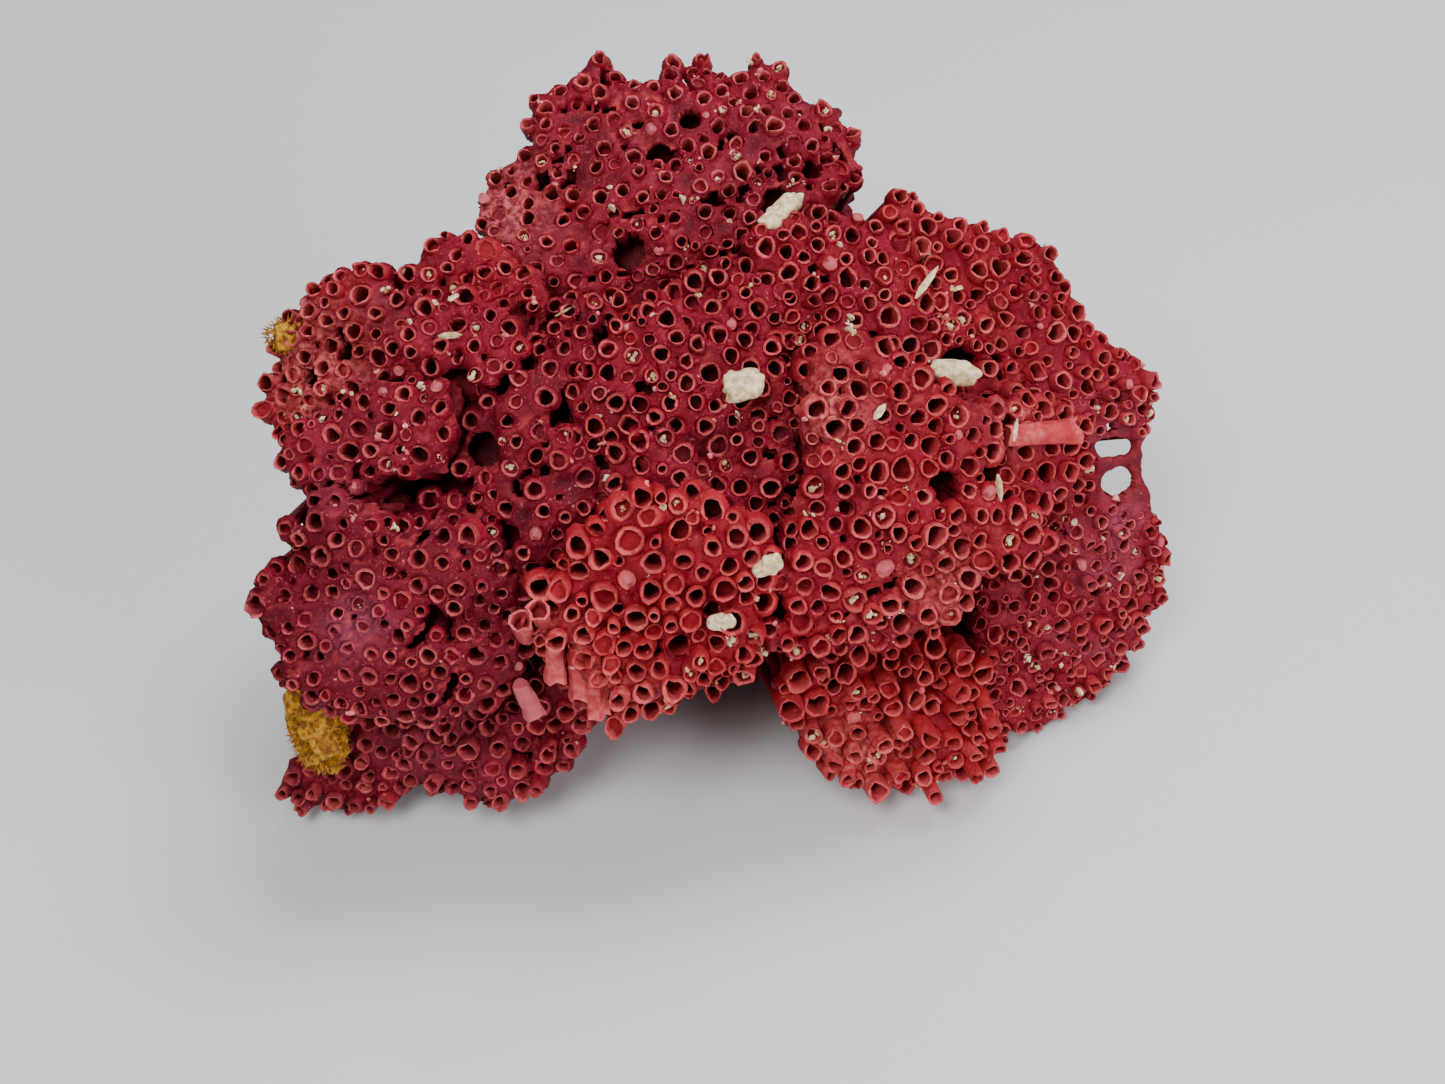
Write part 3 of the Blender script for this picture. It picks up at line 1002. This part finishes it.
def crumbs(places, sizes, seed):
    """Grit: twelve-cornered lumps of twenty faces, each corner pulled in or out at random, squashed
    by different amounts along three random directions."""
    dice = np.random.default_rng(seed)
    golden = (1 + 5**0.5) / 2
    flat = [(a, b * golden, 0) for a in (-1, 1) for b in (-1, 1)]
    corners = np.array(flat + [(0, a, b) for a, b, _ in flat] + [(b, 0, a) for a, b, _ in flat])
    corners = corners / np.linalg.norm(corners[0])
    hull = bmesh.new()
    for corner in corners:
        hull.verts.new(corner)
    bmesh.ops.convex_hull(hull, input=hull.verts)
    hull.verts.index_update()
    faces = np.array([[vert.index for vert in face.verts] for face in hull.faces])
    hull.free()
    count = len(places)
    shape = corners[None] * dice.uniform(0.6, 1.1, (count, 12, 1))
    shape = shape * dice.uniform(0.35, 1.0, (count, 1, 3)) * np.array(sizes)[:, None, None]
    turn = np.linalg.qr(dice.normal(0, 1, (count, 3, 3)))[0]
    turn *= np.sign(np.linalg.det(turn))[:, None, None]
    points = np.einsum("nij,nkj->nki", turn, shape) + np.array(places)[:, None]
    points[..., 2] = np.maximum(points[..., 2], 0.03)
    faces = (faces[None] + 12 * np.arange(count)[:, None, None]).reshape(-1, 3)
    return points.reshape(-1, 3), faces.tolist()


BESIDE_COUNT, WITHIN_COUNT = 230, 110  # places for grit beside tubes and in their mouths
LOW_LEFT_SHARE = 0.2  # of the tubes low on the left, where there is little grit
grit_dice = np.random.default_rng(8)
everywhere = joined(list(LEDGES))
growth = growth_direction(everywhere["place"])
low_left = (everywhere["place"][:, 0] < -6) & (everywhere["place"][:, 2] < 36)
dusty = np.flatnonzero(~low_left | (grit_dice.random(len(low_left)) < LOW_LEFT_SHARE))
beside = grit_dice.choice(dusty, BESIDE_COUNT, replace=False)
within = grit_dice.choice(dusty[everywhere["shallow"][dusty]], WITHIN_COUNT, replace=False)
sidestep = unit(np.cross(growth[beside], grit_dice.normal(0, 1, (len(beside), 3))))
beside_places = everywhere["place"][beside] + growth[beside] * 0.3
beside_places += sidestep * (everywhere["radius"][beside][:, None] + 0.12)
mouth_depth = everywhere["height"][within] - 0.8 * everywhere["radius"][within]
within_places = everywhere["place"][within] + growth[within] * mouth_depth[:, None]
pale = grit_dice.random(len(beside)) < 0.35
cream_heaps = np.concatenate([beside_places[pale], within_places])
cream_places = np.repeat(cream_heaps, 4, axis=0)
cream_places = cream_places + grit_dice.normal(0, 0.17, cream_places.shape)
cream_sizes = 0.12 + 0.5 * grit_dice.random(len(cream_places)) ** 2
plain_piece("cream_grit", *crumbs(cream_places, cream_sizes, 31), shell_skin, "shell_cream")
pink_places = np.repeat(beside_places[~pale], 2, axis=0)
pink_places = pink_places + grit_dice.normal(0, 0.12, pink_places.shape)
pink_sizes = grit_dice.uniform(0.2, 0.5, len(pink_places))
crumb_skin = chalky_skin("coral_crumb", (190, 84, 84), (222, 140, 134), 0.8, 0.1)
plain_piece("coral_grit", *crumbs(pink_places, pink_sizes, 32), crumb_skin, "coral_red")

# Shell splinters
# Thin pointed blades broken from sea shells, 1.6 to 3.7 mm long and cream like the shell bits, are
# stuck between the tubes on the right and at the upper left.
SPLINTERS = [  # start, end
    ((21.0, -5.2, 39.6), (23.4, -2.6, 40.6)), ((15.5, -18.4, 38.9), (16.6, -17.6, 39.7)),
    ((26.9, -18.3, 34.2), (27.6, -16.3, 34.8)), ((25.1, -20.8, 33.2), (25.1, -22.2, 31.4)),
    ((-18.6, -8.6, 45.4), (-16.6, -9.0, 45.6)), ((-9.0, -7.6, 45.0), (-7.2, -6.8, 45.2)),
]


def splinter_blades():
    """Flat pointed blades in four rings of six corners, of which two opposite ones reach furthest."""
    start = np.array([one[0] for one in SPLINTERS])
    reach = np.array([one[1] for one in SPLINTERS]) - start
    length = np.linalg.norm(reach, axis=1)[:, None]
    flat = np.array([0.32, 0.1, 0.1, 0.32, 0.1, 0.1])
    around = np.array([0.3, 1.0, 0.9, 0.15])[None, :, None] * flat * np.ones((len(start), 1, 1))
    along = np.array([0, 0.3, 0.7, 1.0])[None, :, None] * length[:, :, None] * np.ones(6)
    return pipe_skins(start, reach / length, around, along, np.linspace(0, 2, len(start))[:, None])


points, quads, caps = splinter_blades()
plain_piece("shell_splinters", points.reshape(-1, 3), quads.tolist() + caps.tolist(), shell_skin,
            "shell_cream")
